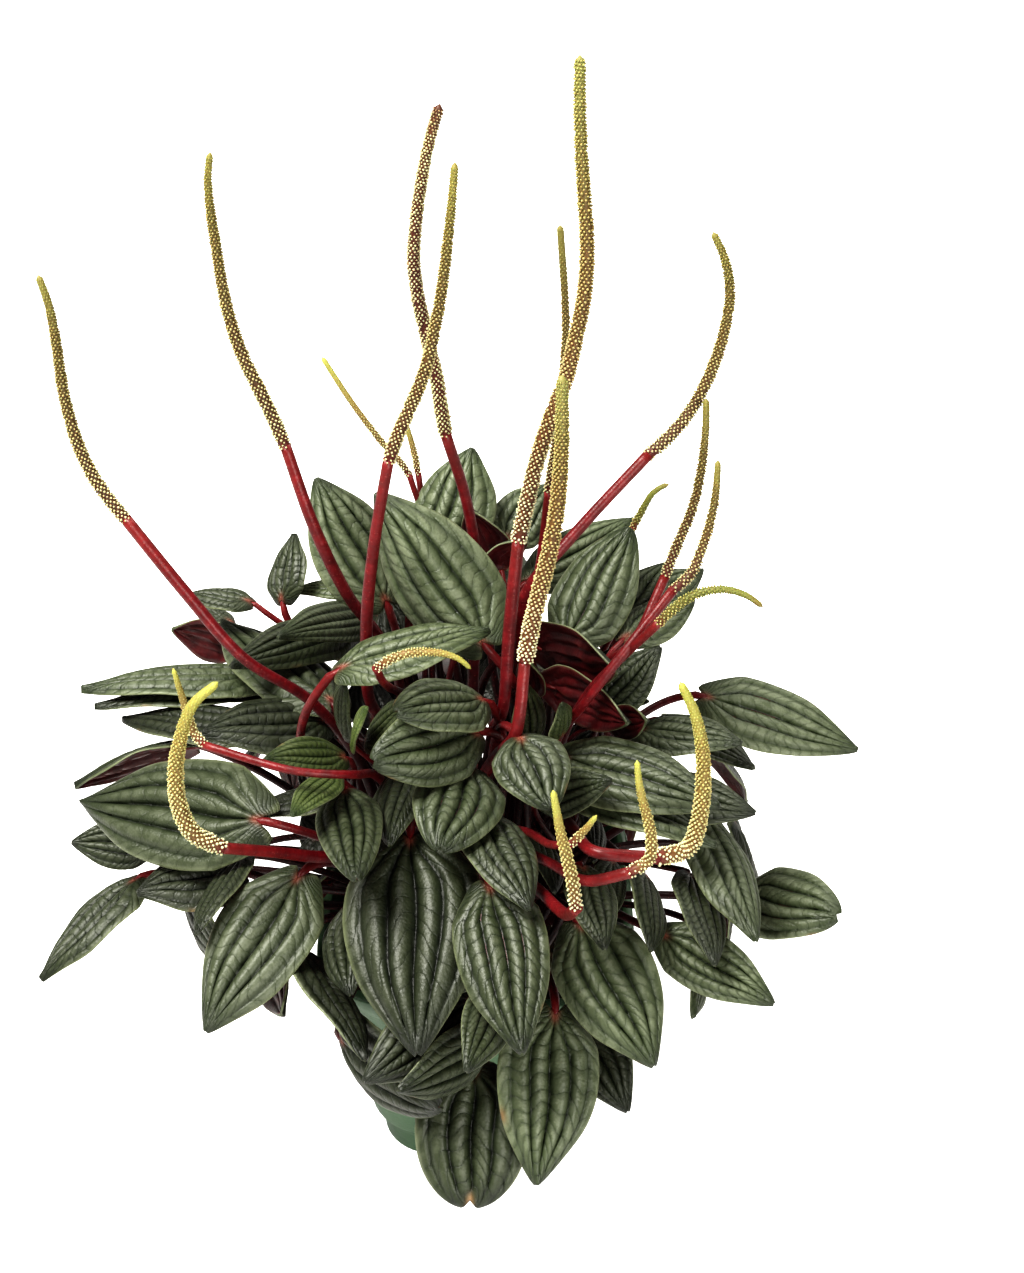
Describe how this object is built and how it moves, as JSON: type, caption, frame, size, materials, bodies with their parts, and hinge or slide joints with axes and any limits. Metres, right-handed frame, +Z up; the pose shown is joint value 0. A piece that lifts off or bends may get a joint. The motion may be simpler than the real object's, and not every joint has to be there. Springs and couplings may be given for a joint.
{
  "type": "potted ripple peperomia",
  "caption": "Bushy houseplant with deeply corrugated heart-shaped leaves on red stalks and slim beaded flower spikes, growing in a small square nursery pot.",
  "frame": {"origin": "middle of the pot's flat bottom", "axes": "+Z up along the pot's axis, +X to the plant's right as seen from the front, the front faces -Y"},
  "size_m": [0.224, 0.2007, 0.319],
  "materials": {
    "pot_plastic": "thin moulded plastic, slightly satin",
    "soil": "damp crumbly potting mix, peat and bark",
    "foliage": "quilted dark green leaf, silvery sheen on the ridges, wine red beneath, on red stalks",
    "flower_spike": "fine pale beads on an olive rod"
  },
  "bodies": {
    "root": {"pot": "pot_plastic", "soil": "soil", "leafy_stem_centre": "foliage", "leafy_stem_front": "foliage", "leafy_stem_left": "foliage", "leafy_stem_right": "foliage", "leafy_stem_back_left": "foliage", "leafy_stem_back_right": "foliage", "spike_far_left": "flower_spike", "spike_left_tall": "flower_spike", "spike_middle_left": "flower_spike", "spike_middle_tall": "flower_spike", "spike_back_pale": "flower_spike", "spike_back_tiny": "flower_spike", "spike_tallest": "flower_spike", "spike_behind_tall": "flower_spike", "spike_white_beaded": "flower_spike", "spike_right_tall": "flower_spike", "spike_right_small": "flower_spike", "spike_right_pair_back": "flower_spike", "spike_right_pair_front": "flower_spike", "spike_right_branch": "flower_spike", "spike_short_yellow": "flower_spike", "spike_left_hook": "flower_spike", "spike_left_small_hook": "flower_spike", "spike_right_hook": "flower_spike", "spike_right_small_hook": "flower_spike", "spike_front_short": "flower_spike", "spike_front_tiny": "flower_spike"}
  },
  "joints": []
}
